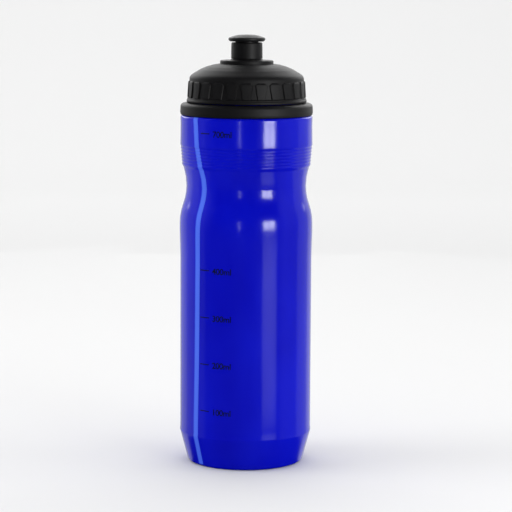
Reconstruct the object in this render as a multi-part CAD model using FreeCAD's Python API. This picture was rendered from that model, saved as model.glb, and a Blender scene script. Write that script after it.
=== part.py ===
import FreeCAD, Part
import math
import os

# Squeeze bottle with a screw cap and a push-pull nozzle.  Millimetres.
# Origin: centre of the standing ring, on the surface it stands on.  +Z runs up the bottle's axis,
# and -Y is the front, where the printed scale's edge and the view stripe are both seen.

# ---- driving dimensions -------------------------------------------------------------------------
WALL = 1.4                  # blown wall of the bottle
GRIP_R = 36.7               # straight wall that a bottle cage holds
GRIP_LOW, GRIP_HIGH = 19.4, 116.0
FOOT_R = 32.65              # outside of the standing ring, before its corner is rounded
HIP_R, HIP_Z = 36.87, 17.6  # soft corner where the tapered foot meets the straight wall
CHEST_R = 37.05             # widest part, just under the waist
WAIST_R = 33.35             # necked grip 155 mm up
PUSH_UP = 6.6               # depth of the hollow in the base
PINCH_LENGTH, PINCH_WIDTH = 34.0, 1.0   # pinch-off weld of the blown tube, across the hollow
PINCH_DROP = 1.2            # how far the weld hangs below the middle of the hollow

RIB_COUNT, RIB_PITCH, RIB_DEPTH = 6, 1.75, 0.35
RIB_LOW = 166.9             # valley under the lowest rib
RIB_R_LOW, RIB_R_HIGH = 35.85, 36.65   # crests of the lowest and the highest rib
BAND_R = 36.67              # plain band between the ribs and the shoulder
SHOULDER_Z = 194.8          # flat shoulder that the collar sits on

NECK_R, NECK_BORE_R = 28.8, 27.2
NECK_LIP_Z = 213.0
NECK_BEAD_R = 29.35         # bead that holds the collar down

STRIPE_AZIMUTH = -47.1      # degrees from the front, negative to the left
STRIPE_WIDTH = 3.75
STRIPE_START_R = 29.6       # the strip is cut from the wall outside this radius

THREAD_PITCH = 5.0
NECK_TURNS, CAP_TURNS = 1.45, 1.3
THREAD_ROOT, THREAD_CREST = 2.2, 1.2    # axial thickness of the thread at its foot and at its tip
NECK_THREAD_R, NECK_THREAD_Z = 29.9, 203.9
CAP_THREAD_R, CAP_THREAD_DROP = 29.15, 1.85    # the cap's thread bears on the neck's from below
CAP_BORE_R = 30.2

COLLAR_R, COLLAR_TOP = 36.87, 201.5
SKIRT_Z = 202.0             # lower rim of the cap
SKIRT_R = 33.32
DOME_TOP = 223.1            # flat seat that the spout's flange rests on
CAP_WALL = 1.7

GRIP_RIBS = 25              # raised V-shaped ribs round the cap
GROOVE_LOW, GROOVE_HIGH = 204.7, 213.2
GROOVE_HALF_LOW, GROOVE_HALF_HIGH = 2.1, 0.85
GROOVE_FLOOR_LOW, GROOVE_FLOOR_HIGH = 32.25, 31.78

PLUG_R, PLUG_LOW = 26.6, 210.6          # ring on the cap that enters the neck
GASKET_T = 1.5
LINER_GAP = 0.1             # gasket to lip and gasket to cap

FLANGE_R, FLANGE_T = 14.8, 1.9
SEAT_BORE_R = 11.2          # hole in the dome
SPOUT_R, SPOUT_BORE_R = 6.5, 5.2
SPOUT_TOP = 233.8
SEAT_RING, NOZZLE_RING = 1.4, 0.96      # sections of the two O-rings
STEM_R, PIN_R = 1.8, 2.2
TRAVEL = 5.0                # nozzle stroke

SLEEVE_R, SLEEVE_BORE_R = 8.7, 7.4
SLEEVE_LOW, SLEEVE_TOP = 225.9, 234.8
SLEEVE_LIP_T = 1.0
TIP_NECK_R = 4.3
MUSHROOM_R = 10.2
MUSHROOM_LOW, MUSHROOM_TOP = 235.4, 239.2


# ---- helpers ------------------------------------------------------------------------------------
def vec(r, z):
    return FreeCAD.Vector(r, 0, z)


def outline(points):
    """Closed wire through (r, z) or (r, z, corner radius) points, corners rounded by tangent arcs."""
    count = len(points)
    starts, ends, arcs = [], [], []
    for i, point in enumerate(points):
        here = vec(point[0], point[1])
        radius = point[2] if len(point) == 3 else 0.0
        back = (vec(*points[i - 1][:2]) - here).normalize()
        ahead = (vec(*points[(i + 1) % count][:2]) - here).normalize()
        if radius == 0.0:
            starts.append(here)
            ends.append(here)
            arcs.append(None)
            continue
        half = back.getAngle(ahead) / 2
        reach = radius / math.tan(half)
        middle = (back + ahead).normalize()
        tip = here + middle * (radius / math.sin(half) - radius)
        starts.append(here + back * reach)
        ends.append(here + ahead * reach)
        arcs.append(Part.Arc(starts[i], tip, ends[i]).toShape())
    edges = []
    for i in range(count):
        if arcs[i] is not None:
            edges.append(arcs[i])
        nxt = starts[(i + 1) % count]
        if ends[i].distanceToPoint(nxt) > 1e-6:
            edges.append(Part.makeLine(ends[i], nxt))
    return Part.Wire(edges)


def turned(points):
    """Solid of revolution about Z of a closed outline in the r-z plane."""
    face = Part.Face(outline(points))
    return face.revolve(FreeCAD.Vector(0, 0, 0), FreeCAD.Vector(0, 0, 1), 360)


def ring(r_in, r_out, z_low, z_high):
    return turned([(r_in, z_low), (r_out, z_low), (r_out, z_high), (r_in, z_high)])


def o_ring(r, z, section):
    return Part.makeTorus(r, section / 2, FreeCAD.Vector(0, 0, z))


def thread(root_r, tip_r, z_low, turns):
    """One right-hand thread, sunk 0.5 mm into the wall at root_r and pointing in or out to tip_r."""
    side = 1 if tip_r > root_r else -1
    sunk_r = root_r - side * 0.5
    slope = (THREAD_ROOT - THREAD_CREST) / 2 / abs(tip_r - root_r)
    sunk_half = THREAD_ROOT / 2 + 0.5 * slope
    corners = [
        FreeCAD.Vector(sunk_r, 0, z_low - sunk_half),
        FreeCAD.Vector(tip_r, 0, z_low - THREAD_CREST / 2),
        FreeCAD.Vector(tip_r, 0, z_low + THREAD_CREST / 2),
        FreeCAD.Vector(sunk_r, 0, z_low + sunk_half),
    ]
    helix = Part.makeHelix(THREAD_PITCH, THREAD_PITCH * turns, root_r)
    helix.translate(FreeCAD.Vector(0, 0, z_low))
    profile = Part.makePolygon(corners + corners[:1])
    return Part.Wire(helix).makePipeShell([profile], True, True)


def export(name, shape):
    solid = shape.removeSplitter()
    if len(solid.Solids) == 1:
        solid = solid.Solids[0]
    print(name, "valid", solid.isValid(), "solids", len(solid.Solids), "volume", round(solid.Volume, 1))
    solid.exportStep("parts/" + name + ".step")


# ---- bottle -------------------------------------------------------------------------------------
def rib_points():
    """Zigzag of the grip ribs: a valley under each rib, its crest, and a last valley on top."""
    points = []
    for k in range(RIB_COUNT + 1):
        z = RIB_LOW + k * RIB_PITCH
        crest = RIB_R_LOW + (RIB_R_HIGH - RIB_R_LOW) * k / RIB_COUNT
        points.append((crest - RIB_DEPTH, z, 0.25))
        if k < RIB_COUNT:
            points.append((crest, z + RIB_PITCH / 2, 0.7))
    return points


def bottle_shell():
    outside = [
        (0, PUSH_UP),
        (20.5, PUSH_UP - 0.8, 5),
        (26.8, 0, 1.2),
        (FOOT_R - 0.4, 0, 2.3),
        (HIP_R, HIP_Z, 2.5),
        (GRIP_R, GRIP_LOW),
        (GRIP_R, GRIP_HIGH),
        (CHEST_R, 130.5, 60),
        (CHEST_R, 140.0, 30),
        (WAIST_R, 150.1, 30),
        (WAIST_R, 160.8, 33),
        (RIB_R_LOW - 0.9, RIB_LOW - 1.0, 0.4),
    ]
    outside += rib_points()
    outside += [
        (BAND_R + 0.06, 178.4, 1.5),
        (BAND_R - 0.08, 189.0),
        (BAND_R, SHOULDER_Z - 2.2, 1.0),
        (BAND_R, SHOULDER_Z, 1.4),
        (NECK_R, SHOULDER_Z, 0.6),
        (NECK_R, COLLAR_TOP + 0.05, 0.2),
        (NECK_BEAD_R, COLLAR_TOP + 0.3, 0.3),
        (NECK_BEAD_R, COLLAR_TOP + 0.7, 0.3),
        (NECK_R, COLLAR_TOP + 1.2, 0.2),
        (NECK_R, NECK_LIP_Z, 0.5),
    ]
    inside = [
        (NECK_BORE_R, NECK_LIP_Z, 0.5),
        (NECK_BORE_R, SHOULDER_Z - 3.0, 3.0),
        (BAND_R - WALL, SHOULDER_Z - 5.0, 3.5),
        (BAND_R - WALL, 178.4, 8),
        (WAIST_R + 1.7 - WALL, 165.8, 8),
        (WAIST_R - WALL, 160.4, 30),
        (WAIST_R - WALL, 150.4, 30),
        (CHEST_R - WALL, 140.0, 28),
        (CHEST_R - WALL, 130.5, 60),
        (GRIP_R - WALL, GRIP_HIGH),
        (GRIP_R - WALL, GRIP_LOW, 6),
        (FOOT_R - WALL - 0.2, WALL + 0.2, 2.0),
        (27.6, WALL + 0.2, 1.5),
        (21.0, PUSH_UP + WALL - 0.3, 5),
        (0, PUSH_UP + WALL + 0.5),
    ]
    return turned(outside + inside)


def stripe_slab():
    """Upright band through one side of the wall; it wanders a little, as a co-extruded strip does."""
    centre = [(1.2, -0.9), (24, -0.9), (64, -0.1), (128, 0.6), (146, 1.5), (156, 2.0), (166, 1.3),
              (179, -0.5), (SHOULDER_Z + 1, -1.8)]
    half = STRIPE_WIDTH / 2
    edges = []
    for side in (-half, half):
        curve = Part.BSplineCurve()
        curve.interpolate([FreeCAD.Vector(shift + side, -STRIPE_START_R, z) for z, shift in centre])
        edges.append(curve.toShape())
    ends = [e.Vertexes for e in edges]
    edges.append(Part.makeLine(ends[0][0].Point, ends[1][0].Point))
    edges.append(Part.makeLine(ends[0][1].Point, ends[1][1].Point))
    face = Part.Face(Part.Wire(Part.__sortEdges__(edges)))
    slab = face.extrude(FreeCAD.Vector(0, -15, 0))
    slab.rotate(FreeCAD.Vector(0, 0, 0), FreeCAD.Vector(0, 0, 1), STRIPE_AZIMUTH)
    return slab


def make_bottle():
    shell = bottle_shell()
    slab = stripe_slab()
    stripe = shell.common(slab)
    body = shell.cut(slab)
    weld = Part.makeBox(PINCH_LENGTH, PINCH_WIDTH, PINCH_DROP + 0.4)
    weld.translate(FreeCAD.Vector(-PINCH_LENGTH / 2, -PINCH_WIDTH / 2, PUSH_UP - PINCH_DROP))
    body = body.fuse(weld).fuse(thread(NECK_R, NECK_THREAD_R, NECK_THREAD_Z, NECK_TURNS))
    export("bottle_body", body)
    export("view_stripe", stripe)


def make_collar():
    collar = turned([
        (NECK_R + 0.7, SHOULDER_Z),
        (COLLAR_R - 0.35, SHOULDER_Z, 0.8),
        (COLLAR_R, SHOULDER_Z + 1.5, 1.2),
        (COLLAR_R - 0.2, COLLAR_TOP - 0.4, 1.9),
        (33.5, COLLAR_TOP, 3),
        (NECK_R + 0.02, COLLAR_TOP),
        (NECK_R + 0.02, SHOULDER_Z + 0.8),
    ])
    export("neck_collar", collar)


# ---- cap ----------------------------------------------------------------------------------------
def groove_cutter():
    """One groove between two V-shaped ribs: wide at the bottom, flared where the rib corners round."""
    low, high = GROOVE_HALF_LOW, GROOVE_HALF_HIGH
    half = [(low, GROOVE_LOW, 0.5), (high, GROOVE_HIGH - 1.3, 1.2), (high + 1.3, GROOVE_HIGH, 0.8),
            (high + 1.3, GROOVE_HIGH + 2)]
    mirrored = [(-p[0],) + p[1:] for p in reversed(half)]
    prism = Part.Face(outline(half + mirrored)).extrude(FreeCAD.Vector(0, -45, 0))
    floor = turned([
        (GROOVE_FLOOR_LOW, GROOVE_LOW - 1), (45, GROOVE_LOW - 1), (45, GROOVE_HIGH + 1),
        (GROOVE_FLOOR_HIGH - 0.02, GROOVE_HIGH + 1),
    ])
    return prism.common(floor)


def cap_body():
    seat_z = NECK_LIP_Z + GASKET_T + 2 * LINER_GAP
    return turned([
        (CAP_BORE_R, SKIRT_Z, 0.3),
        (SKIRT_R, SKIRT_Z, 0.4),
        (SKIRT_R, SKIRT_Z + 1.0, 0.4),
        (32.95, 203.7, 0.4),
        (32.46, 212.6, 0.5),
        (GROOVE_FLOOR_HIGH, 213.7, 0.4),
        (31.72, 216.2, 3.0),
        (22.9, 222.35, 30.0),
        (FLANGE_R, DOME_TOP),
        (SEAT_BORE_R, DOME_TOP),
        (SEAT_BORE_R, DOME_TOP - CAP_WALL),
        (14.8, DOME_TOP - CAP_WALL, 6),
        (22.3, 220.5, 14),
        (PLUG_R - 1.0, 218.25),
        (PLUG_R - 1.0, PLUG_LOW, 0.3),
        (PLUG_R, PLUG_LOW, 0.4),
        (PLUG_R, seat_z),
        (CAP_BORE_R, seat_z, 0.4),
    ])


def make_cap():
    cap = cap_body()
    groove = groove_cutter()
    grooves = []
    for k in range(GRIP_RIBS):
        copy = groove.copy()
        copy.rotate(FreeCAD.Vector(0, 0, 0), FreeCAD.Vector(0, 0, 1), (k + 0.5) * 360 / GRIP_RIBS)
        grooves.append(copy)
    cap = cap.cut(Part.makeCompound(grooves))
    half_turn_rise = THREAD_PITCH / 2
    inner = thread(CAP_BORE_R, CAP_THREAD_R, NECK_THREAD_Z - CAP_THREAD_DROP + half_turn_rise, CAP_TURNS)
    inner.rotate(FreeCAD.Vector(0, 0, 0), FreeCAD.Vector(0, 0, 1), 180)
    export("cap_shell", cap.fuse(inner))


def make_gasket():
    low = NECK_LIP_Z + LINER_GAP
    export("cap_gasket", ring(PLUG_R + 0.2, CAP_BORE_R - 0.3, low, low + GASKET_T))


# ---- spout and nozzle ---------------------------------------------------------------------------
def make_spout():
    """Flange on the dome, snap skirt below it, and the tube that the nozzle slides on."""
    top = DOME_TOP + FLANGE_T
    under = DOME_TOP - CAP_WALL - 0.1
    bead_z = SLEEVE_LOW + SLEEVE_LIP_T + TRAVEL + 0.1
    groove_r = SLEEVE_BORE_R - 0.05 - NOZZLE_RING
    spout = turned([
        (SPOUT_BORE_R, DOME_TOP, 0.3),
        (8.8, DOME_TOP, 0.3),
        (8.8, under - 1.2, 0.2),
        (SEAT_BORE_R + 0.4, under - 1.2, 0.5),
        (SEAT_BORE_R + 0.4, under),
        (SEAT_BORE_R - SEAT_RING, under),
        (SEAT_BORE_R - SEAT_RING, DOME_TOP),
        (FLANGE_R, DOME_TOP),
        (FLANGE_R, top, 0.6),
        (SLEEVE_R + 0.25, top, 0.2),
        (SLEEVE_R + 0.25, top + 0.6, 0.3),
        (SPOUT_R, top + 0.6),
        (SPOUT_R, bead_z),
        (SPOUT_R + 0.7, bead_z),
        (SPOUT_R + 0.7, bead_z + 0.3),
        (groove_r, bead_z + 0.3),
        (groove_r, bead_z + 0.3 + NOZZLE_RING),
        (SPOUT_R + 0.7, bead_z + 0.3 + NOZZLE_RING),
        (SPOUT_R + 0.7, SPOUT_TOP, 0.2),
        (SPOUT_BORE_R, SPOUT_TOP, 0.2),
    ])
    spout = spout.fuse(ring(STEM_R, STEM_R + 1.3, DOME_TOP, top))
    for k in range(3):
        arm = Part.makeBox(SPOUT_BORE_R + 0.4 - STEM_R - 0.6, 1.4, FLANGE_T)
        arm.translate(FreeCAD.Vector(STEM_R + 0.6, -0.7, DOME_TOP))
        arm.rotate(FreeCAD.Vector(0, 0, 0), FreeCAD.Vector(0, 0, 1), 120 * k)
        spout = spout.fuse(arm)
    export("spout_insert", spout)
    export("spout_seal", o_ring(SEAT_BORE_R - SEAT_RING / 2, DOME_TOP - CAP_WALL / 2, SEAT_RING - 0.06))
    ring_z = bead_z + 0.3 + NOZZLE_RING / 2
    export("nozzle_seal", o_ring(groove_r + NOZZLE_RING / 2, ring_z, NOZZLE_RING - 0.02))


def make_pin():
    """Centre pin: a thin stem pushed into the spout's hub, with a plug that closes the nozzle."""
    export("valve_pin", turned([
        (0, DOME_TOP - 0.6),
        (STEM_R + 0.5, DOME_TOP - 0.6, 0.3),
        (STEM_R + 0.5, DOME_TOP),
        (STEM_R, DOME_TOP),
        (STEM_R, MUSHROOM_TOP - 3.2, 0.5),
        (PIN_R, MUSHROOM_TOP - 2.7, 0.3),
        (PIN_R, MUSHROOM_TOP - 0.15, 0.4),
        (0, MUSHROOM_TOP),
    ]))


def make_sleeve():
    """Rigid nozzle sleeve: a lip at the bottom runs on the spout, a ring at the top holds the tip."""
    ring_low = SPOUT_TOP + 0.1
    export("nozzle_sleeve", turned([
        (SPOUT_R + 0.1, SLEEVE_LOW),
        (SLEEVE_R, SLEEVE_LOW, 0.15),
        (SLEEVE_R, 232.0, 60),
        (SLEEVE_R - 0.12, SLEEVE_TOP, 0.6),
        (TIP_NECK_R, SLEEVE_TOP),
        (TIP_NECK_R, ring_low),
        (SLEEVE_BORE_R, ring_low),
        (SLEEVE_BORE_R, SLEEVE_LOW + SLEEVE_LIP_T),
        (SPOUT_R + 0.1, SLEEVE_LOW + SLEEVE_LIP_T),
    ]))


def make_mouthpiece():
    """Soft mushroom tip, plugged into the sleeve's top ring, with an orifice round the pin."""
    ring_low = SPOUT_TOP + 0.1
    export("mouthpiece", turned([
        (PIN_R + 0.7, ring_low - 1.1, 0.2),
        (TIP_NECK_R + 0.7, ring_low - 1.1, 0.3),
        (TIP_NECK_R + 0.7, ring_low),
        (TIP_NECK_R, ring_low),
        (TIP_NECK_R, SLEEVE_TOP),
        (6.5, SLEEVE_TOP),
        (6.5, MUSHROOM_LOW, 0.15),
        (9.4, MUSHROOM_LOW, 0.4),
        (MUSHROOM_R, MUSHROOM_LOW + 0.8, 0.5),
        (MUSHROOM_R, MUSHROOM_TOP - 1.85, 0.6),
        (5.6, MUSHROOM_TOP - 0.12, 16),
        (PIN_R + 0.1, MUSHROOM_TOP - 0.12),
        (PIN_R + 0.1, MUSHROOM_TOP - 1.3),
        (PIN_R + 0.7, MUSHROOM_TOP - 1.8),
    ]))


os.makedirs("parts", exist_ok=True)
make_bottle()
make_collar()
make_cap()
make_gasket()
make_spout()
make_pin()
make_sleeve()
make_mouthpiece()
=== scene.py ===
import math

import bmesh
import bpy
from mathutils import Matrix, Vector
from mathutils.geometry import delaunay_2d_cdt


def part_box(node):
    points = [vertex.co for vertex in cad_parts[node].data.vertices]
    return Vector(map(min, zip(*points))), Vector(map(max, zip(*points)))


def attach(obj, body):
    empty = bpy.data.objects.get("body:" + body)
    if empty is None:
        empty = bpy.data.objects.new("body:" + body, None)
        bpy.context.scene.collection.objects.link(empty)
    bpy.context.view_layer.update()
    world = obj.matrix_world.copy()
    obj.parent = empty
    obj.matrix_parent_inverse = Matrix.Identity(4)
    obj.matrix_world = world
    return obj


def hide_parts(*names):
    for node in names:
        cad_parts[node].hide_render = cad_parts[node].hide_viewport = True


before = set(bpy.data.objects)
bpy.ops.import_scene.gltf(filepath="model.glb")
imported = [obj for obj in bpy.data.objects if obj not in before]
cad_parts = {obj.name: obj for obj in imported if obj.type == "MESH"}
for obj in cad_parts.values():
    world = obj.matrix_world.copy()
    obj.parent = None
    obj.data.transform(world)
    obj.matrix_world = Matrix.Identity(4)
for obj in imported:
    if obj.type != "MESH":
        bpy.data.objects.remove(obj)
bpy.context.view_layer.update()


# ---- bottle wall --------------------------------------------------------------------------------
# The bottle is one blow-moulded wall of soft glossy polyethylene, dyed deep blue: a tapered foot with a
# hollow base, a straight grip, a waist, fine ribs, a shoulder and a threaded neck.  It stands on its foot.

MM = 0.001                      # sizes below are in millimetres; what is built from them is in metres
ARC_STEP = math.radians(9)      # one row for each 9 degrees that a corner turns
WELD = 1e-6                     # points closer than this are one point
SHARP = math.radians(38)        # edges that turn more than this are seen as edges

WALL = 1.4                      # thickness of the blown wall
FOOT_R, HIP_R, HIP_Z = 32.65, 36.87, 17.6
GRIP_R, GRIP_LOW, GRIP_HIGH = 36.7, 19.4, 116.0
CHEST_R = 37.05
WAIST_R = 33.35
PUSH_UP = 6.6                   # depth of the hollow in the base
PINCH_LENGTH, PINCH_WIDTH, PINCH_DROP, PINCH_ROOT, PINCH_CORNER = 34.0, 1.0, 1.2, 0.4, 0.2
RIB_COUNT, RIB_PITCH, RIB_DEPTH, RIB_LOW = 6, 1.75, 0.35, 166.9
RIB_R_LOW, RIB_R_HIGH = 35.85, 36.65
BAND_R, SHOULDER_Z = 36.67, 194.8
NECK_R, NECK_BORE_R, NECK_LIP_Z = 28.8, 27.2, 213.0
COLLAR_TOP = 201.5
NECK_BEAD_R = 29.35             # bead that holds the collar down

THREAD_PITCH, THREAD_SUNK, THREAD_FOOT, THREAD_TIP = 5.0, 0.4, 2.45, 1.2
THREAD_RUNOUT = 0.06            # share of its length over which a thread rises from the wall
THREAD_SEGMENTS = 64            # in one turn
NECK_TURNS, NECK_THREAD_R, NECK_THREAD_Z = 1.45, 29.9, 203.9
WALL_COLUMNS = 192


class Wire:
    """An output of a node.  Arithmetic on it adds Math nodes to the same tree."""

    def __init__(self, tree, socket):
        self.tree, self.socket = tree, socket

    def __add__(self, other):
        return self.tree.math("ADD", self, other)

    def __sub__(self, other):
        return self.tree.math("SUBTRACT", self, other)

    def __rsub__(self, other):
        return self.tree.math("SUBTRACT", other, self)

    def __mul__(self, other):
        return self.tree.math("MULTIPLY", self, other)

    def __truediv__(self, other):
        return self.tree.math("DIVIDE", self, other)

    def __mod__(self, other):
        return self.tree.math("FLOORED_MODULO", self, other)

    __radd__ = __add__
    __rmul__ = __mul__


class Tree:
    """A shader tree or a geometry-nodes tree, filled by node()."""

    def __init__(self, owner):
        self.owner = owner

    def node(self, kind, settings=None, inputs=None, output=0):
        """Adds a node, sets it, then gives its inputs their values or links; returns one output."""
        made = self.owner.nodes.new(kind)
        for name, value in (settings or {}).items():
            setattr(made, name, value)
        for key, value in (inputs or {}).items():
            if isinstance(value, Wire):
                self.owner.links.new(value.socket, made.inputs[key])
            else:
                made.inputs[key].default_value = value
        return Wire(self, made.outputs[output])

    def math(self, operation, *values):
        return self.node("ShaderNodeMath", {"operation": operation}, dict(enumerate(values)))

    def ramp(self, value, low, high):
        """0 below low and 1 above high (or the other way round), with a smooth step between."""
        settings = {"interpolation_type": "SMOOTHSTEP"}
        return self.node("ShaderNodeMapRange", settings, {0: value, 1: low, 2: high})

    def parts(self, vector):
        made = self.node("ShaderNodeSeparateXYZ", {}, {0: vector}).socket.node
        return [Wire(self, socket) for socket in made.outputs]

    def vector(self, x, y, z):
        return self.node("ShaderNodeCombineXYZ", {}, {0: x, 1: y, 2: z})

    def joined(self, pieces):
        """One geometry from several."""
        all_in_one = self.node("GeometryNodeJoinGeometry")
        for piece in pieces:
            self.owner.links.new(piece.socket, all_in_one.socket.node.inputs[0])
        return all_in_one


def rounded(points, gap=3.0):
    """Rows (r, z) in metres of a closed section through (r, z) or (r, z, corner radius) points in
    millimetres.  Corners are tangent arcs, and rows are no further apart than gap."""
    corners = []
    for i, point in enumerate(points):
        here = Vector(point[:2])
        back = (Vector(points[i - 1][:2]) - here).normalized()
        ahead = (Vector(points[(i + 1) % len(points)][:2]) - here).normalized()
        if len(point) == 2:
            corners.append(here)
            continue
        half = back.angle(ahead) / 2
        centre = here + (back + ahead).normalized() * (point[2] / math.sin(half))
        first = here + back * (point[2] / math.tan(half)) - centre
        turn = math.pi - 2 * half
        side = 1 if back.x * ahead.y - back.y * ahead.x < 0 else -1
        steps = max(2, math.ceil(turn / ARC_STEP))
        for k in range(steps + 1):
            corners.append(centre + Matrix.Rotation(side * turn * k / steps, 2) @ first)
    rows = []
    for i, here in enumerate(corners):
        ahead = corners[(i + 1) % len(corners)]
        pieces = max(1, math.ceil((ahead - here).length / gap))
        rows += [tuple(here.lerp(ahead, k / pieces) * MM) for k in range(pieces)]
    return rows


SOCKET_KINDS = {int: "NodeSocketInt", float: "NodeSocketFloat", bpy.types.Material: "NodeSocketMaterial"}


def grown(name, section, sizes, build):
    """A plain mesh piece: build(tree, inputs) wires a geometry-nodes tree on the section mesh, and
    sizes are the tree's named inputs, with their values."""
    group = bpy.data.node_groups.new(name, "GeometryNodeTree")
    group.interface.new_socket("Section", in_out="INPUT", socket_type="NodeSocketGeometry")
    group.interface.new_socket("Skin", in_out="OUTPUT", socket_type="NodeSocketGeometry")
    sockets = {}
    for key, value in sizes.items():
        kind = SOCKET_KINDS[type(value)]
        sockets[key] = group.interface.new_socket(key, in_out="INPUT", socket_type=kind).identifier
    tree = Tree(group)
    entry = group.nodes.new("NodeGroupInput")
    inputs = {socket.name: Wire(tree, socket) for socket in entry.outputs if socket.name}
    skin = tree.node("GeometryNodeRealizeInstances", {}, {0: build(tree, inputs)})
    skin = tree.node("GeometryNodeSetMaterial", {}, {0: skin, "Material": inputs["Finish"]})
    group.links.new(skin.socket, group.nodes.new("NodeGroupOutput").inputs[0])

    host = bpy.data.objects.new(name + "_host", section)
    bpy.context.scene.collection.objects.link(host)
    modifier = host.modifiers.new(name, "NODES")
    modifier.node_group = group
    for key, value in sizes.items():
        modifier[sockets[key]] = value
    evaluated = host.evaluated_get(bpy.context.evaluated_depsgraph_get())
    piece = bpy.data.objects.new(name, bpy.data.meshes.new_from_object(evaluated))
    bpy.context.scene.collection.objects.link(piece)
    bpy.data.objects.remove(host)
    piece.data.polygons.foreach_set("material_index", [0] * len(piece.data.polygons))
    piece.data.materials.clear()
    piece.data.materials.append(sizes["Finish"])
    settle(piece.data)
    return piece


def settle(mesh):
    """Welds a mesh, closes its open rims, points its faces outwards and marks its sharp edges."""
    edit = bmesh.new()
    edit.from_mesh(mesh)
    bmesh.ops.remove_doubles(edit, verts=edit.verts, dist=WELD)
    bmesh.ops.dissolve_degenerate(edit, edges=edit.edges, dist=WELD)
    bmesh.ops.delete(edit, geom=[e for e in edit.edges if e.is_wire], context="EDGES")
    bmesh.ops.holes_fill(edit, edges=[e for e in edit.edges if e.is_boundary])
    bmesh.ops.recalc_face_normals(edit, faces=edit.faces)
    edit.to_mesh(mesh)
    edit.free()
    mesh.shade_smooth()
    mesh.set_sharp_from_angle(angle=SHARP)


def section_mesh(rows, edges=None, ends=()):
    """The rows as points, with the azimuth where each row starts and the angle it sweeps.  Ends are the
    rows that bound the flat faces left where a sweep stops short of a full turn."""
    faces = []
    if ends:
        corners = [Vector(rows[i]) / MM for i in ends]
        ring = [(k, (k + 1) % len(ends)) for k in range(len(ends))]
        _, _, triangles, came_from, _, _ = delaunay_2d_cdt(corners, ring, [], 1, 1e-5)
        faces = [[ends[came_from[k][0]] for k in triangle] for triangle in triangles]
    mesh = bpy.data.meshes.new("section")
    mesh.from_pydata([(r, 0, z) for r, z in rows], [], faces)
    edges = edges or [(-math.pi, 2 * math.pi)] * len(rows)
    for name, column in (("start", 0), ("sweep", 1)):
        attribute = mesh.attributes.new(name, "FLOAT", "POINT")
        attribute.data.foreach_set("value", [edge[column] for edge in edges])
    return mesh


def round_axis(tree, radius, azimuth, height):
    """The point at that radius, azimuth and height.  Azimuth 0 is the front."""
    return tree.vector(radius * tree.math("SINE", azimuth), radius * tree.math("COSINE", azimuth) * -1.0,
                       height)


def turned(tree, inputs, row_count, push=None, slotted=False):
    """Turns the section round the axis: a grid whose rows are the section's points.
    Push(share of the sweep, azimuth, radius, height) may move a point round or outwards.
    A slotted piece also gets the section's own faces at both ends of the sweep."""
    grid = tree.node("GeometryNodeMeshGrid", {}, {
        "Size X": 1.0, "Size Y": 1.0, "Vertices X": inputs["Columns"] + 1, "Vertices Y": row_count + 1})
    across, up, _ = tree.parts(tree.node("GeometryNodeInputPosition"))
    across = across + 0.5
    row = tree.math("FLOOR", (up + 0.5) * row_count + 0.5) % row_count

    def from_section(kind, value):
        settings = {"data_type": kind, "domain": "POINT"}
        return tree.node("GeometryNodeSampleIndex", settings,
                         {"Geometry": inputs["Section"], "Value": value, "Index": row})

    def named(name):
        return tree.node("GeometryNodeInputNamedAttribute", {"data_type": "FLOAT"}, {"Name": name})

    place = from_section("FLOAT_VECTOR", tree.node("GeometryNodeInputPosition"))
    radius, _, height = tree.parts(place)
    azimuth = from_section("FLOAT", named("start")) + across * from_section("FLOAT", named("sweep"))
    if push:
        azimuth, radius = push(across, azimuth, radius, height)
    grid = tree.node("GeometryNodeStoreNamedAttribute", {"data_type": "FLOAT", "domain": "POINT"},
                     {"Geometry": grid, "Name": "across", "Value": across})
    skin = tree.node("GeometryNodeSetPosition", {}, {
        "Geometry": grid, "Position": round_axis(tree, radius, azimuth, height)})
    pieces = [skin]
    for share in (0.0, 1.0) if slotted else ():
        radius, _, height = tree.parts(tree.node("GeometryNodeInputPosition"))
        azimuth = named("start") + named("sweep") * share
        pieces.append(tree.node("GeometryNodeSetPosition", {}, {
            "Geometry": inputs["Section"], "Position": round_axis(tree, radius, azimuth, height)}))
    return tree.node("GeometryNodeMergeByDistance", {}, {"Geometry": tree.joined(pieces), "Distance": WELD})


def turned_piece(name, points, columns, finish, gap=3.0):
    """A piece turned in full from a rounded section."""
    rows = rounded(points, gap)
    return grown(name, section_mesh(rows), {"Columns": columns, "Finish": finish},
                 lambda tree, inputs: turned(tree, inputs, len(rows)))


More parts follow.
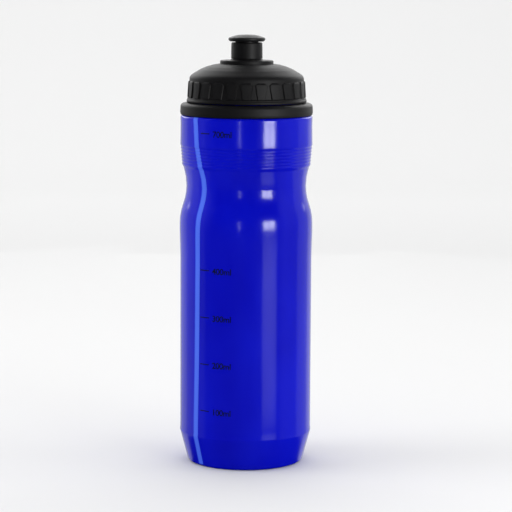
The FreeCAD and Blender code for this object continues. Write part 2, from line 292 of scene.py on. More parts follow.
def thread_ridge(name, root_r, tip_r, low_z, turns, first_azimuth, finish):
    """A right-hand thread: a tapered trapezoid swept along a helix, its foot sunk in the wall."""
    side = 1 if tip_r > root_r else -1
    depth = abs(tip_r - root_r) + THREAD_SUNK

    def build(tree, inputs):
        helix = tree.node("GeometryNodeCurveSpiral", {}, {
            "Resolution": THREAD_SEGMENTS, "Rotations": inputs["Turns"], "Start Radius": inputs["Radius"],
            "End Radius": inputs["Radius"], "Height": inputs["Turns"] * inputs["Pitch"], "Reverse": False})
        helix = tree.node("GeometryNodeSetCurveNormal", {"mode": "Z_UP"}, {"Curve": helix})
        along = tree.node("GeometryNodeSplineParameter", {}, {}, "Factor")
        taper = tree.ramp(along, 0.0, THREAD_RUNOUT) * tree.ramp(along, 1.0, 1.0 - THREAD_RUNOUT)
        taper = taper * 0.99 + 0.01
        helix = tree.node("GeometryNodeSetCurveRadius", {}, {"Curve": helix, "Radius": taper})
        profile = tree.node("GeometryNodeCurvePrimitiveQuadrilateral", {"mode": "TRAPEZOID"}, {
            "Height": inputs["Depth"], "Bottom Width": inputs["Foot"], "Top Width": inputs["Tip"],
            "Offset": 0.0})
        turn = side * math.pi / 2
        profile = tree.node("GeometryNodeTransform", {}, {"Geometry": profile, "Rotation": (0, 0, turn)})
        ridge = tree.node("GeometryNodeCurveToMesh", {}, {
            "Curve": helix, "Profile Curve": profile, "Fill Caps": True})
        return tree.node("GeometryNodeTransform", {}, {
            "Geometry": ridge, "Translation": (0, 0, low_z * MM),
            "Rotation": (0, 0, first_azimuth - math.pi / 2)})

    empty = bpy.data.meshes.new(name)
    middle_r = root_r + side * (depth / 2 - THREAD_SUNK)
    return grown(name, empty, {
        "Turns": turns, "Pitch": THREAD_PITCH * MM, "Radius": middle_r * MM, "Depth": depth * MM,
        "Foot": THREAD_FOOT * MM, "Tip": THREAD_TIP * MM, "Finish": finish}, build)


def joined(piece, *others):
    """Moves the others' faces into piece, so that one object holds the whole moulding."""
    edit = bmesh.new()
    for part in (piece, *others):
        edit.from_mesh(part.data)
    edit.to_mesh(piece.data)
    edit.free()
    for other in others:
        bpy.data.objects.remove(other)


PLASTIC_IOR = 1.5
RELIEF = 0.1                    # depth of surface relief where its pattern is 1


def plastic(name, rough, paint):
    """A moulded plastic: paint(tree, place) returns colour, extra roughness and relief wires."""
    made = bpy.data.materials.new(name)
    made.use_nodes = True
    tree = Tree(made.node_tree)
    shader = made.node_tree.nodes["Principled BSDF"]
    place = tree.node("ShaderNodeTexCoord", {}, {}, "Object")
    colour, haze, relief = paint(tree, place)
    bump = tree.node("ShaderNodeBump", {}, {"Strength": 1.0, "Distance": RELIEF * MM, "Height": relief})
    for socket, wire in (("Base Color", colour), ("Roughness", haze + rough), ("Normal", bump)):
        made.node_tree.links.new(wire.socket, shader.inputs[socket])
    shader.inputs["IOR"].default_value = PLASTIC_IOR
    return made


def noise(tree, place, scale, detail=2.0, stretch=(1.0, 1.0, 1.0)):
    """Noise around 0.5, in lumps of about 1 / scale metres."""
    place = tree.node("ShaderNodeMapping", {}, {"Vector": place, "Scale": stretch})
    return tree.node("ShaderNodeTexNoise", {}, {"Vector": place, "Scale": scale, "Detail": detail})


def blend_colours(tree, share, low, high):
    return tree.node("ShaderNodeMix", {"data_type": "RGBA"}, {0: share, 6: low, 7: high}, 2)


DEEP_BLUE = (0.0001, 0.0012, 0.425, 1)
THIN_BLUE = (0.0004, 0.0035, 0.52, 1)


def paint_wall(tree, place):
    """Blown polyethylene: slow changes of wall thickness, faint upright die lines, fine orange peel."""
    thickness = noise(tree, place, 26, 3, (1, 1, 0.45))
    die_lines = noise(tree, place, 420, 2, (1, 1, 0.012))
    peel = noise(tree, place, 650, 2)
    scuffs = tree.ramp(noise(tree, place, 900, 4, (1, 1, 0.15)), 0.62, 0.75)
    colour = blend_colours(tree, tree.ramp(thickness, 0.3, 0.7), DEEP_BLUE, THIN_BLUE)
    haze = thickness * 0.06 + scuffs * 0.05
    relief = thickness * 2.5 + die_lines * 0.12 + peel * 0.1
    return colour, haze, relief


blue_wall = plastic("blue_polyethylene", 0.13, paint_wall)

STRIPE_AZIMUTH = math.radians(-47.1)
STRIPE_WIDTH, STRIPE_START_R, STRIPE_LOW = 3.75, 29.6, 1.2
STRIPE_WANDER = [(1.2, -0.9), (24, -0.9), (64, -0.1), (128, 0.6), (146, 1.5), (156, 2.0), (166, 1.3),
                 (179, -0.5), (SHOULDER_Z + 1, -1.8)]


def wander(z):
    """Sideways drift of the strip at height z: a smooth curve through the points of STRIPE_WANDER."""
    points = STRIPE_WANDER
    if z < points[1][0]:
        return points[0][1]
    k = max(1, min(len(points) - 2, sum(height <= z for height, _ in points) - 1))
    (z0, a), (z1, b), (z2, c) = points[k - 1:k + 2]
    z3, d = points[min(k + 2, len(points) - 1)]
    t = (z - z1) / (z2 - z1)
    slope_1 = (c - a) / (z2 - z0) * (z2 - z1)
    slope_2 = (d - b) / (z3 - z1) * (z2 - z1)
    return ((2 * t**3 - 3 * t**2 + 1) * b + (t**3 - 2 * t**2 + t) * slope_1
            + (3 * t**2 - 2 * t**3) * c + (t**3 - t**2) * slope_2)


def stripe_edges(r, z):
    """Azimuths of the strip's two edges at a point of the wall, or one azimuth where it has none."""
    r, z = r / MM, z / MM
    middle = STRIPE_AZIMUTH + math.asin(wander(z) / max(r, STRIPE_START_R))
    inside = r > STRIPE_START_R and z > STRIPE_LOW
    half = math.asin(STRIPE_WIDTH / 2 / r) if inside else 0.0
    return middle - half, middle + half


def rib_points():
    """Zigzag of the grip ribs: a valley under each rib, its crest, and a last valley on top."""
    points = []
    for k in range(RIB_COUNT + 1):
        z = RIB_LOW + k * RIB_PITCH
        crest = RIB_R_LOW + (RIB_R_HIGH - RIB_R_LOW) * k / RIB_COUNT
        points.append((crest - RIB_DEPTH, z, 0.25))
        if k < RIB_COUNT:
            points.append((crest, z + RIB_PITCH / 2, 0.7))
    return points


wall_section = [
    (0, PUSH_UP), (20.5, PUSH_UP - 0.8, 5), (26.8, 0, 1.2), (FOOT_R - 0.4, 0, 2.3), (HIP_R, HIP_Z, 2.5),
    (GRIP_R, GRIP_LOW), (GRIP_R, GRIP_HIGH), (CHEST_R, 130.5, 60), (CHEST_R, 140.0, 30),
    (WAIST_R, 150.1, 30), (WAIST_R, 160.8, 33), (RIB_R_LOW - 0.9, RIB_LOW - 1.0, 0.4),
    *rib_points(),
    (BAND_R + 0.06, 178.4, 1.5), (BAND_R - 0.08, 189.0), (BAND_R, SHOULDER_Z - 2.2, 1.0),
    (BAND_R, SHOULDER_Z, 1.4), (NECK_R, SHOULDER_Z, 0.6), (NECK_R, COLLAR_TOP + 0.05, 0.2),
    (NECK_BEAD_R, COLLAR_TOP + 0.3, 0.3), (NECK_BEAD_R, COLLAR_TOP + 0.7, 0.3),
    (NECK_R, COLLAR_TOP + 1.2, 0.2), (NECK_R, NECK_LIP_Z, 0.5), (NECK_BORE_R, NECK_LIP_Z, 0.5),
    (NECK_BORE_R, SHOULDER_Z - 3.0, 3.0), (BAND_R - WALL, SHOULDER_Z - 5.0, 3.5),
    (BAND_R - WALL, 178.4, 8), (WAIST_R + 1.7 - WALL, 165.8, 8), (WAIST_R - WALL, 160.4, 30),
    (WAIST_R - WALL, 150.4, 30), (CHEST_R - WALL, 140.0, 28), (CHEST_R - WALL, 130.5, 60),
    (GRIP_R - WALL, GRIP_HIGH), (GRIP_R - WALL, GRIP_LOW, 6), (FOOT_R - WALL - 0.2, WALL + 0.2, 2.0),
    (27.6, WALL + 0.2, 1.5), (21.0, PUSH_UP + WALL - 0.3, 5), (0, PUSH_UP + WALL + 0.5)]

wall_rows = rounded(wall_section)
wall_edges = []
for r, z in wall_rows:
    left, right = stripe_edges(r, z)
    wall_edges.append((right, 2 * math.pi - (right - left)))
slot_rows = [i for i in range(-1, len(wall_rows) - 1)
             if any(wall_edges[k][1] < 2 * math.pi for k in (i - 1, i, i + 1))]
wall_mesh = section_mesh(wall_rows, wall_edges, [i % len(wall_rows) for i in slot_rows])
wall = grown("bottle_moulding", wall_mesh, {"Columns": WALL_COLUMNS, "Finish": blue_wall},
             lambda tree, inputs: turned(tree, inputs, len(wall_rows), slotted=True))
neck_thread = thread_ridge("neck_thread", NECK_R, NECK_THREAD_R, NECK_THREAD_Z, NECK_TURNS, 0.0, blue_wall)
pinch_edit = bmesh.new()
bmesh.ops.create_cube(pinch_edit, size=1.0)
for vertex in pinch_edit.verts:
    x, y, z = vertex.co
    height = PUSH_UP + (PINCH_ROOT if z > 0 else -PINCH_DROP)
    vertex.co = x * PINCH_LENGTH * MM, y * PINCH_WIDTH * MM, height * MM
bmesh.ops.bevel(pinch_edit, geom=pinch_edit.edges[:], offset=PINCH_CORNER * MM, segments=2, affect="EDGES")
pinch_mesh = bpy.data.meshes.new("pinch")
pinch_edit.to_mesh(pinch_mesh)
pinch_edit.free()
pinch_mesh.materials.append(blue_wall)
pinch_weld = bpy.data.objects.new("pinch", pinch_mesh)
bpy.context.scene.collection.objects.link(pinch_weld)
joined(wall, neck_thread, pinch_weld)
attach(wall, "bottle")
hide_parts("bottle_body")


# ---- level stripe -------------------------------------------------------------------------------
# A strip of undyed polyethylene, run into the wall as the tube is drawn, so that it is as thick as the
# wall and flush with it.  It lets light through, so it shows how full the bottle is.

STRIPE_BLUE = (0.060, 0.145, 0.83, 1)
STRIPE_EDGE = (0.02, 0.052, 0.70, 1)


def paint_stripe(tree, place):
    """Milky plastic: lighter along its middle, where it is not tinted by the dyed wall on each side."""
    across = tree.node("ShaderNodeAttribute", {"attribute_name": "across"}, {}, "Fac")
    middle = tree.ramp(across, 0.0, 0.25) * tree.ramp(across, 1.0, 0.75)
    cloud = noise(tree, place, 60, 3, (1, 1, 0.3))
    colour = blend_colours(tree, middle * (cloud * 0.4 + 0.75), STRIPE_EDGE, STRIPE_BLUE)
    return colour, cloud * 0.08, noise(tree, place, 500, 2) * 0.12


stripe_rows, stripe_spans = [], []
for r, z in wall_rows:
    left, right = stripe_edges(r, z)
    if right > left:
        stripe_rows.append((r, z))
        stripe_spans.append((left, right - left))
clear_stripe = plastic("clear_polyethylene", 0.16, paint_stripe)
stripe_mesh = section_mesh(stripe_rows, stripe_spans, range(len(stripe_rows)))
stripe = grown("level_stripe", stripe_mesh, {"Columns": 8, "Finish": clear_stripe},
               lambda tree, inputs: turned(tree, inputs, len(stripe_rows), slotted=True))
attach(stripe, "bottle")
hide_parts("view_stripe")


# ---- printed scale ------------------------------------------------------------------------------
# Black ink printed on the blown wall beside the stripe: a tick and a plain figure for each 100 ml.  The
# marks are evenly spaced on the straight wall, and the top one is above the waist and the ribs.

MARKS = [(100 * n, 33.0 + 26.1 * (n - 1)) for n in range(1, 5)] + [(700, 186.2)]
TICK_LEFT, TICK_RIGHT, TICK_THICK = math.radians(-42.8), math.radians(-33.2), 0.55
TICK_COLUMNS = 9                # columns of points, so that a tick bends round the wall
FIGURE_LEFT, FIGURE_HEIGHT, FIGURE_DROP = math.radians(-30.1), 3.3, 0.4
INK = 0.04                      # thickness of the printed layer
INK_SINK = 0.02                 # how far its underside lies in the wall
FIGURE_SHARE, FIGURE_SPACING = 0.70, 0.96   # height of a figure in its type size, and letter spacing
FIGURE_BOLD = 0.08              # how far a stroke's edge is moved out
BASE_R = 30.0                   # rows of the wall inside this radius are the base's or the neck's


def paint_ink(tree, place):
    """Pad-printed ink: nearly black, a little uneven where it took less well."""
    patches = noise(tree, place, 1500, 3)
    colour = blend_colours(tree, patches, (0.002, 0.003, 0.010, 1), (0.006, 0.008, 0.03, 1))
    return colour, patches * 0.15, patches * 0.3


def wall_radius(z):
    """Outer radius of the wall at height z."""
    outer = [(row_r, row_z) for row_r, row_z in wall_rows[:wall_top_row] if row_r > BASE_R * MM]
    for (r0, z0), (r1, z1) in zip(outer, outer[1:]):
        if z0 <= z <= z1:
            return r0 + (r1 - r0) * (z - z0) / (z1 - z0)
    return outer[-1][0]


def figure_mesh(text):
    """The figure as a flat closed plate of ink, its left edge at x = 0 and its middle at y = 0."""
    curve = bpy.data.curves.new("figure", "FONT")
    curve.body = text
    curve.size = FIGURE_HEIGHT * MM / FIGURE_SHARE
    curve.offset = FIGURE_BOLD * MM
    curve.extrude = INK * MM / 2
    curve.align_y = "CENTER"
    curve.space_character = FIGURE_SPACING
    host = bpy.data.objects.new("figure", curve)
    bpy.context.scene.collection.objects.link(host)
    mesh = bpy.data.meshes.new_from_object(host.evaluated_get(bpy.context.evaluated_depsgraph_get()))
    bpy.data.objects.remove(host)
    return mesh


def tick_plates(tree, inputs):
    """One thin plate of ink on each point of the section mesh."""
    plate = tree.node("GeometryNodeMeshCube", {}, {
        "Size": tree.vector(inputs["Length"], inputs["Thickness"], inputs["Ink"]),
        "Vertices X": TICK_COLUMNS, "Vertices Y": 2, "Vertices Z": 2})
    return tree.node("GeometryNodeInstanceOnPoints", {}, {"Points": inputs["Section"], "Instance": plate})


wall_top_row = max(range(len(wall_rows)), key=lambda i: wall_rows[i][1])
ink = plastic("printing_ink", 0.15, paint_ink)
tick_points = bpy.data.meshes.new("tick_points")
tick_length = (TICK_RIGHT - TICK_LEFT) * GRIP_R * MM
tick_middle = (TICK_LEFT + TICK_RIGHT) / 2 * GRIP_R * MM
tick_points.from_pydata([(tick_middle, height * MM, 0) for _, height in MARKS], [], [])
scale = grown("printed_scale", tick_points, {
    "Length": tick_length, "Thickness": TICK_THICK * MM, "Ink": INK * MM, "Finish": ink}, tick_plates)
edit = bmesh.new()
edit.from_mesh(scale.data)
for amount, height in MARKS:
    plate = figure_mesh(f"{amount}ml")
    plate.transform(Matrix.Translation((FIGURE_LEFT * GRIP_R * MM, (height - FIGURE_DROP) * MM, 0)))
    edit.from_mesh(plate)
for vertex in edit.verts:
    x, height, depth = vertex.co
    azimuth = x / (GRIP_R * MM)
    radius = wall_radius(height) + depth + (INK / 2 - INK_SINK) * MM
    vertex.co = radius * math.sin(azimuth), -radius * math.cos(azimuth), height
for face in edit.faces:
    face.material_index = 0
edit.to_mesh(scale.data)
edit.free()
settle(scale.data)
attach(scale, "bottle")


# ---- neck collar --------------------------------------------------------------------------------
# A black ring pushed down over the neck and held on the shoulder by a small bead.  It fills the step
# between the wide body and the narrower cap, and stays on the bottle when the cap comes off.

COLLAR_R = 36.87


def paint_black(tree, place):
    """Matt black polypropylene off a spark-eroded tool: fine even texture, a little handling shine."""
    texture = noise(tree, place, 2600, 3)
    patches = noise(tree, place, 45, 3)
    colour = blend_colours(tree, patches, (0.0030, 0.0030, 0.0036, 1), (0.0055, 0.0053, 0.0064, 1))
    haze = texture * 0.12 + patches * 0.10
    return colour, haze, texture * 0.35 + patches * 0.5


collar_black = plastic("black_collar", 0.44, paint_black)
collar = turned_piece("collar_ring", [
    (NECK_R + 0.7, SHOULDER_Z), (COLLAR_R - 0.35, SHOULDER_Z, 0.8), (COLLAR_R, SHOULDER_Z + 1.5, 1.2),
    (COLLAR_R - 0.2, COLLAR_TOP - 0.4, 1.9), (33.5, COLLAR_TOP, 3), (NECK_R + 0.02, COLLAR_TOP),
    (NECK_R + 0.02, SHOULDER_Z + 0.8)], 192, collar_black)
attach(collar, "bottle")
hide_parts("neck_collar")


# ---- gasket -------------------------------------------------------------------------------------
# A flat ring of grey silicone, loose in the cap round its plug ring.  It is squeezed on the neck's lip when
# the cap is tight, and rises with the cap without turning with it.  The spout's two O-rings, one in the
# dome's hole and one under the nozzle, are of the same silicone.

def paint_silicone(tree, place):
    """Grey silicone with the faint bloom and dust that it picks up."""
    bloom = noise(tree, place, 300, 4)
    colour = blend_colours(tree, bloom, (0.30, 0.30, 0.31, 1), (0.42, 0.42, 0.43, 1))
    return colour, bloom * 0.2, bloom * 0.3


silicone = plastic("grey_silicone", 0.42, paint_silicone)
for node in ("cap_gasket", "spout_seal", "nozzle_seal"):
    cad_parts[node].data.materials.clear()
    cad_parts[node].data.materials.append(silicone)


# ---- cap ----------------------------------------------------------------------------------------
# One injection moulding in matt black polypropylene: a skirt with V-shaped grip ribs and an inner thread,
# a dome, a plug ring that enters the neck, and a hole in the top for the spout.

SKIRT_Z, SKIRT_R = 202.0, 33.32
DOME_TOP, CAP_WALL, SEAT_BORE_R, FLANGE_R = 223.1, 1.7, 11.2, 14.8
CAP_BORE_R = 30.2
PLUG_R, PLUG_LOW = 26.6, 210.6
GASKET_SEAT = NECK_LIP_Z + 1.7
GRIP_RIBS = 25
RIB_BOTTOM, RIB_TOP, RIB_CORNER = 204.75, 213.15, 1.3
RIB_HALF_LOW, RIB_HALF_HIGH = math.radians(3.45), math.radians(5.7)
RIB_HEIGHT, RIB_FLANK = 0.66, math.radians(0.75)
CAP_COLUMNS = 20                # columns of faces in one rib and one groove
CAP_THREAD_R, CAP_THREAD_DROP, CAP_TURNS = 29.15, 1.85, 1.3


def push_ribs(tree, inputs, across, radius, height):
    """Gathers the columns along each rib's slanted sides and lifts the rib between them."""
    sector = 2 * math.pi / GRIP_RIBS
    share = (across * inputs["Ribs"]) % 1.0 - 0.5
    middle = (across * inputs["Ribs"] - share) * sector - math.pi
    up = (height - RIB_BOTTOM * MM) / ((RIB_TOP - RIB_BOTTOM) * MM)
    straight = RIB_HALF_LOW + (RIB_HALF_HIGH - RIB_HALF_LOW) * tree.math("MINIMUM", up, 1.0)
    into_corner = tree.math("MAXIMUM", height - (RIB_TOP - RIB_CORNER) * MM, 0.0) / (RIB_CORNER * MM)
    into_corner = tree.math("MINIMUM", into_corner, 1.0)
    curve = tree.math("SQRT", 1.0 - into_corner * into_corner)
    half = straight - (1.0 - curve) * (RIB_CORNER / CAP_BORE_R)
    zone = tree.ramp(height, (RIB_BOTTOM - 1.2) * MM, (RIB_BOTTOM - 0.3) * MM)
    zone = zone * tree.ramp(height, (RIB_TOP + 1.6) * MM, (RIB_TOP + 0.5) * MM)
    aside = tree.math("ABSOLUTE", share)
    on_top = tree.math("MINIMUM", aside / 0.25, 1.0) * half
    on_flank = tree.math("MINIMUM", tree.math("MAXIMUM", aside - 0.25, 0.0) / 0.15, 1.0) * RIB_FLANK
    on_floor = tree.math("MAXIMUM", aside - 0.40, 0.0) / 0.10 * (sector / 2 - RIB_FLANK - half)
    gathered = tree.math("SIGN", share) * (on_top + on_flank + on_floor)
    even = share * sector
    azimuth = middle + even + (gathered - even) * zone
    lift = tree.ramp(aside, 0.40, 0.25)
    lift = lift * tree.ramp(height, (RIB_BOTTOM - 0.25) * MM, (RIB_BOTTOM + 0.1) * MM)
    lift = lift * tree.ramp(height, (RIB_TOP + 0.45) * MM, (RIB_TOP - 0.1) * MM)
    outside = tree.math("GREATER_THAN", radius, (CAP_BORE_R + 0.8) * MM)
    return azimuth, radius + lift * outside * (RIB_HEIGHT * MM)


cap_section = [
    (CAP_BORE_R, SKIRT_Z, 0.3), (SKIRT_R, SKIRT_Z, 0.4), (SKIRT_R, SKIRT_Z + 1.0, 0.4), (32.95, 203.7, 0.3),
    (32.85, 204.3, 0.25), (32.3, 204.75, 0.25), (31.78, 213.7, 0.4), (31.72, 216.2, 3.0),
    (22.9, 222.35, 30.0), (FLANGE_R, DOME_TOP), (SEAT_BORE_R, DOME_TOP),
    (SEAT_BORE_R, DOME_TOP - CAP_WALL), (14.8, DOME_TOP - CAP_WALL, 6), (22.3, 220.5, 14),
    (PLUG_R - 1.0, 218.25), (PLUG_R - 1.0, PLUG_LOW, 0.3), (PLUG_R, PLUG_LOW, 0.4), (PLUG_R, GASKET_SEAT),
    (CAP_BORE_R, GASKET_SEAT, 0.4)]
cap_black = plastic("black_cap", 0.46, paint_black)
cap_rows = rounded(cap_section, 0.5)
cap_finish = {"Columns": CAP_COLUMNS * GRIP_RIBS, "Ribs": float(GRIP_RIBS), "Finish": cap_black}
cap = grown("cap_moulding", section_mesh(cap_rows), cap_finish, lambda tree, inputs: turned(
    tree, inputs, len(cap_rows), lambda across, azimuth, radius, height: push_ribs(
        tree, inputs, across, radius, height)))
cap_thread = thread_ridge("cap_thread", CAP_BORE_R, CAP_THREAD_R,
                          NECK_THREAD_Z - CAP_THREAD_DROP + THREAD_PITCH / 2, CAP_TURNS, math.pi, cap_black)
joined(cap, cap_thread)
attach(cap, "cap")
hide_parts("cap_shell")


# ---- spout insert and pin -----------------------------------------------------------------------
# A second black moulding snapped into the dome over an O-ring: a round flange, and the tube that the
# nozzle slides on.  The pin is pushed into the hub in its middle, and its plug shuts the nozzle's hole.

FLANGE_TOP = DOME_TOP + 1.9
SLEEVE_R, SLEEVE_BORE_R, SLEEVE_LOW, SLEEVE_TOP = 8.7, 7.4, 225.9, 234.8
SPOUT_R, SPOUT_BORE_R, SPOUT_TOP = 6.5, 5.2, 233.8
STEM_R, PIN_R = 1.8, 2.2
SEAT_RING, NOZZLE_RING = 1.4, 0.96
TRAVEL, SLEEVE_LIP = 5.0, 1.0
ARM_WIDTH, ARM_COUNT = 1.4, 3

under = DOME_TOP - CAP_WALL - 0.1
bead_z = SLEEVE_LOW + SLEEVE_LIP + TRAVEL + 0.1
groove_r = SLEEVE_BORE_R - 0.05 - NOZZLE_RING
spout_black = plastic("black_spout", 0.44, paint_black)
spout = turned_piece("spout_moulding", [
    (SPOUT_BORE_R, DOME_TOP, 0.3), (8.8, DOME_TOP, 0.3), (8.8, under - 1.2, 0.2),
    (SEAT_BORE_R + 0.4, under - 1.2, 0.5), (SEAT_BORE_R + 0.4, under), (SEAT_BORE_R - SEAT_RING, under),
    (SEAT_BORE_R - SEAT_RING, DOME_TOP), (FLANGE_R, DOME_TOP), (FLANGE_R, FLANGE_TOP, 0.6),
    (SLEEVE_R + 0.25, FLANGE_TOP, 0.2), (SLEEVE_R + 0.25, FLANGE_TOP + 0.6, 0.3),
    (SPOUT_R, FLANGE_TOP + 0.6), (SPOUT_R, bead_z), (SPOUT_R + 0.7, bead_z), (SPOUT_R + 0.7, bead_z + 0.3),
    (groove_r, bead_z + 0.3), (groove_r, bead_z + 0.3 + NOZZLE_RING),
    (SPOUT_R + 0.7, bead_z + 0.3 + NOZZLE_RING), (SPOUT_R + 0.7, SPOUT_TOP, 0.2),
    (SPOUT_BORE_R, SPOUT_TOP, 0.2)], 128, spout_black)
hub = turned_piece("spout_hub", [
    (STEM_R, DOME_TOP), (STEM_R + 1.3, DOME_TOP), (STEM_R + 1.3, FLANGE_TOP, 0.2), (STEM_R, FLANGE_TOP)],
    64, spout_black)


def hub_arms(tree, inputs):
    """The arms that join the hub to the tube, set round the axis."""
    length, reach = SPOUT_BORE_R + 0.4 - STEM_R - 0.6, (SPOUT_BORE_R + 0.4 + STEM_R + 0.6) / 2
    arm = tree.node("GeometryNodeMeshCube", {}, {
        "Size": tree.vector(length * MM, inputs["Width"], (FLANGE_TOP - DOME_TOP) * MM)})
    arm = tree.node("GeometryNodeTransform", {}, {
        "Geometry": arm, "Translation": (reach * MM, 0, (DOME_TOP + FLANGE_TOP) / 2 * MM)})
    spots = tree.node("GeometryNodeMeshLine", {}, {"Count": inputs["Arms"], "Offset": (0, 0, 0)})
    turn = tree.node("GeometryNodeInputIndex") * (2 * math.pi / ARM_COUNT)
    return tree.node("GeometryNodeInstanceOnPoints", {}, {
        "Points": spots, "Instance": arm, "Rotation": tree.vector(0.0, 0.0, turn)})


arms = grown("spout_arms", bpy.data.meshes.new("arms"), {
    "Arms": ARM_COUNT, "Width": ARM_WIDTH * MM, "Finish": spout_black}, hub_arms)
joined(spout, hub, arms)
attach(spout, "cap")
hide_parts("spout_insert")

MUSHROOM_TOP = 239.2
pin = turned_piece("plug_pin", [
    (0, DOME_TOP - 0.6), (STEM_R + 0.5, DOME_TOP - 0.6, 0.3), (STEM_R + 0.5, DOME_TOP), (STEM_R, DOME_TOP),
    (STEM_R, MUSHROOM_TOP - 3.2, 0.5), (PIN_R, MUSHROOM_TOP - 2.7, 0.3), (PIN_R, MUSHROOM_TOP - 0.15, 0.4),
    (0, MUSHROOM_TOP)], 64, spout_black, 1.5)
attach(pin, "cap")
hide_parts("valve_pin")


# ---- nozzle -------------------------------------------------------------------------------------
# The part that is pulled up to drink: a rigid black sleeve that slides on the spout, and a soft tip like
# a mushroom plugged into its top.  Pushed down, the tip's hole closes on the pin.

MUSHROOM_LOW, MUSHROOM_R, TIP_NECK_R = 235.4, 10.2, 4.3
ring_low = SPOUT_TOP + 0.1
nozzle_black = plastic("black_nozzle", 0.42, paint_black)
sleeve = turned_piece("pull_sleeve", [
    (SPOUT_R + 0.1, SLEEVE_LOW), (SLEEVE_R, SLEEVE_LOW, 0.15), (SLEEVE_R, 232.0, 60),
    (SLEEVE_R - 0.12, SLEEVE_TOP, 0.6), (TIP_NECK_R, SLEEVE_TOP), (TIP_NECK_R, ring_low),
    (SLEEVE_BORE_R, ring_low), (SLEEVE_BORE_R, SLEEVE_LOW + SLEEVE_LIP),
    (SPOUT_R + 0.1, SLEEVE_LOW + SLEEVE_LIP)], 128, nozzle_black)
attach(sleeve, "nozzle")
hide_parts("nozzle_sleeve")


def paint_rubber(tree, place):
    """Soft black elastomer: slightly greyer and duller than the hard parts, with a fine bloom."""
    bloom = noise(tree, place, 900, 4)
    patches = noise(tree, place, 160, 2)
    colour = blend_colours(tree, patches, (0.004, 0.004, 0.0046, 1), (0.008, 0.008, 0.009, 1))
    return colour, bloom * 0.14, bloom * 0.4


soft_black = plastic("black_elastomer", 0.42, paint_rubber)
tip = turned_piece("soft_tip", [
    (PIN_R + 0.7, ring_low - 1.1, 0.2), (TIP_NECK_R + 0.7, ring_low - 1.1, 0.3),
    (TIP_NECK_R + 0.7, ring_low), (TIP_NECK_R, ring_low), (TIP_NECK_R, SLEEVE_TOP), (6.5, SLEEVE_TOP),
    (6.5, MUSHROOM_LOW, 0.15), (9.4, MUSHROOM_LOW, 0.4), (MUSHROOM_R, MUSHROOM_LOW + 0.8, 0.5),
    (MUSHROOM_R, MUSHROOM_TOP - 1.85, 0.6), (5.6, MUSHROOM_TOP - 0.12, 16),
    (PIN_R + 0.1, MUSHROOM_TOP - 0.12), (PIN_R + 0.1, MUSHROOM_TOP - 1.3),
    (PIN_R + 0.7, MUSHROOM_TOP - 1.8)], 128, soft_black)
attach(tip, "nozzle")
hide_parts("mouthpiece")


# ---- floor, light and camera --------------------------------------------------------------------
# A seamless white sweep in even daylight, a window low on the right in front, white walls at the back on
# both sides, and a long lens looking slightly down.

FLOOR_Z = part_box("bottle_body")[0].z
HALF_FLOOR, FLOOR_FRONT, BEND_START, BEND_R, SWEEP_TOP, BEND_STEPS = 4.0, -4.0, 1.6, 0.8, 3.0, 16
GLOW_START, GLOW_FULL = 0.5, 1.7        # painted light: the far end of the sweep glows, standing in for light that the lamps don't bring there
NO_GLOW, FAR_GLOW = (0.0, 0.0, 0.0, 1), (0.25, 0.25, 0.25, 1)
SWEEP_WHITE = (0.72, 0.72, 0.72, 1)
bend = [math.pi / 2 * k / BEND_STEPS for k in range(1, BEND_STEPS + 1)]
profile = [(FLOOR_FRONT, 0.0), (BEND_START, 0.0)]
profile += [(BEND_START + BEND_R * math.sin(a), BEND_R * (1 - math.cos(a))) for a in bend]
profile += [(BEND_START + BEND_R, SWEEP_TOP)]
floor_mesh = bpy.data.meshes.new("floor")
floor_mesh.from_pydata([(x, y, z + FLOOR_Z) for y, z in profile for x in (-HALF_FLOOR, HALF_FLOOR)], [],
                       [(2 * k, 2 * k + 1, 2 * k + 3, 2 * k + 2) for k in range(len(profile) - 1)])
floor_mesh.shade_smooth()
white_sweep = bpy.data.materials.new("white_sweep")
white_sweep.use_nodes = True
sweep_shader = white_sweep.node_tree.nodes["Principled BSDF"]
for socket, value in (("Base Color", SWEEP_WHITE), ("Roughness", 0.9), ("Emission Strength", 1.0)):
    sweep_shader.inputs[socket].default_value = value
sweep_tree = Tree(white_sweep.node_tree)
depth = sweep_tree.parts(sweep_tree.node("ShaderNodeTexCoord", {}, {}, "Object"))[1]
# painted light: emission that rises towards the far end of the sweep, so the backdrop there is as bright as
# the lit floor near the bottle
glow = blend_colours(sweep_tree, sweep_tree.ramp(depth, GLOW_START, GLOW_FULL), NO_GLOW, FAR_GLOW)
white_sweep.node_tree.links.new(glow.socket, sweep_shader.inputs["Emission Color"])
floor = bpy.data.objects.new("floor", floor_mesh)
floor.data.materials.append(white_sweep)
bpy.context.scene.collection.objects.link(floor)
floor.visible_glossy = False


def glowing(name, wide, high, radiance, place, turn):
    """A rectangular lamp of that radiance, which the camera can't see."""
    lamp = bpy.data.lights.new(name, "AREA")
    lamp.shape = "RECTANGLE"
    lamp.size, lamp.size_y = wide, high
    lamp.energy = radiance * math.pi * lamp.size * lamp.size_y
    made = bpy.data.objects.new(name, lamp)
    made.location, made.rotation_euler = place, turn
    made.visible_camera = False
    bpy.context.scene.collection.objects.link(made)
    return made


def panel(name, azimuths, distance, heights, radiance):
    """An upright lamp facing the bottle.  Azimuths are in degrees, from the front to the right."""
    first, last = (math.radians(a) for a in azimuths)
    low, high = heights
    middle = (first + last) / 2
    place = distance * math.sin(middle), -distance * math.cos(middle), (low + high) / 2
    wide = 2 * distance * math.tan((last - first) / 2)
    return glowing(name, wide, high - low, radiance, place, (math.pi / 2, 0, middle))


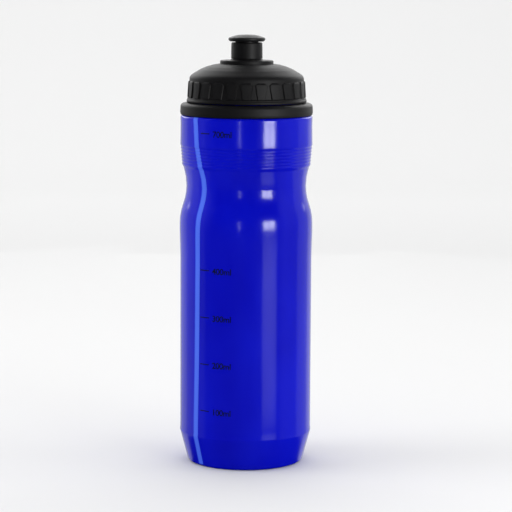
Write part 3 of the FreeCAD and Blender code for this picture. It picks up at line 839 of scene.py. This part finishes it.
WINDOW_AWAY, WINDOW_HEIGHTS, WINDOW_RADIANCE = 0.8, (0.085, 0.27), 13.0
CARD_AWAY, CARD_HEIGHTS = 0.3, (-0.03, 0.085)
ROOM_AWAY, ROOM_HEIGHTS, UPPER_HEIGHTS = 0.9, (-0.4, 0.9), (0.33, 1.25)
DAYLIGHT_AWAY, DAYLIGHT_HEIGHTS = 2.2, (0.0, 2.0)
CEILING_WIDE, CEILING_Z, LEVEL = 2.6, 1.15, (0, 0, 0)

panel("window_left", (30, 39.5), WINDOW_AWAY, WINDOW_HEIGHTS, WINDOW_RADIANCE)
panel("window_right", (40.5, 49), WINDOW_AWAY, WINDOW_HEIGHTS, WINDOW_RADIANCE)
panel("low_card", (28, 52), CARD_AWAY, CARD_HEIGHTS, 0.8)
panel("door_gap", (-12.5, -10.5), WINDOW_AWAY, WINDOW_HEIGHTS, 5.0)

# What the plastic mirrors of the room, and what lights it, are lamps of their own.
for name, azimuths, heights, radiance in (
        ("right_front", (62, 100), ROOM_HEIGHTS, 0.15), ("right_side", (100, 135), ROOM_HEIGHTS, 0.42),
        ("right_back", (135, 172), ROOM_HEIGHTS, 0.75), ("left_front", (-100, -75), ROOM_HEIGHTS, 0.16),
        ("left_side", (-125, -100), ROOM_HEIGHTS, 0.38), ("left_back", (-172, -125), ROOM_HEIGHTS, 0.6),
        ("back", (172, 188), ROOM_HEIGHTS, 1.2), ("upper_back", (128, 232), UPPER_HEIGHTS, 2.3)):
    panel(name, azimuths, ROOM_AWAY, heights, radiance).visible_diffuse = False
panel("left_daylight", (-105, -65), DAYLIGHT_AWAY, DAYLIGHT_HEIGHTS, 3.0).visible_glossy = False
panel("right_daylight", (65, 105), DAYLIGHT_AWAY, DAYLIGHT_HEIGHTS, 1.5).visible_glossy = False
glowing("ceiling_light", CEILING_WIDE, 2.2, 0.9, (0, 0.35, CEILING_Z), LEVEL).visible_glossy = False
glowing("ceiling_seen", CEILING_WIDE, 1.0, 3.6, (0, 1.0, CEILING_Z), LEVEL).visible_diffuse = False

daylight = bpy.data.worlds.new("daylight")
daylight.use_nodes = True
daylight.node_tree.nodes["Background"].inputs["Color"].default_value = (1, 1, 1, 1)
daylight.node_tree.nodes["Background"].inputs["Strength"].default_value = 0.4
daylight.cycles_visibility.glossy = False
bpy.context.scene.world = daylight

CAMERA_BACK, CAMERA_UP = 1.1873, 0.2701
TILT, PAN, ROLL = math.radians(7.414), math.radians(-0.273), math.radians(0.297)
LENS, SENSOR = 150.14, 36.0
ahead = Vector((-math.cos(TILT) * math.sin(PAN), math.cos(TILT) * math.cos(PAN), -math.sin(TILT)))
aside = Vector((math.cos(PAN), math.sin(PAN), 0))
above = aside.cross(ahead)
right = aside * math.cos(ROLL) + above * math.sin(ROLL)
top = above * math.cos(ROLL) - aside * math.sin(ROLL)
camera = bpy.data.objects.new("camera", bpy.data.cameras.new("camera"))
camera.data.lens, camera.data.sensor_width = LENS, SENSOR
camera.matrix_world = Matrix((right, top, -ahead)).transposed().to_4x4()
camera.location = (0, -CAMERA_BACK, CAMERA_UP)
bpy.context.scene.collection.objects.link(camera)
bpy.context.scene.camera = camera
bpy.context.scene.view_settings.view_transform = "Standard"
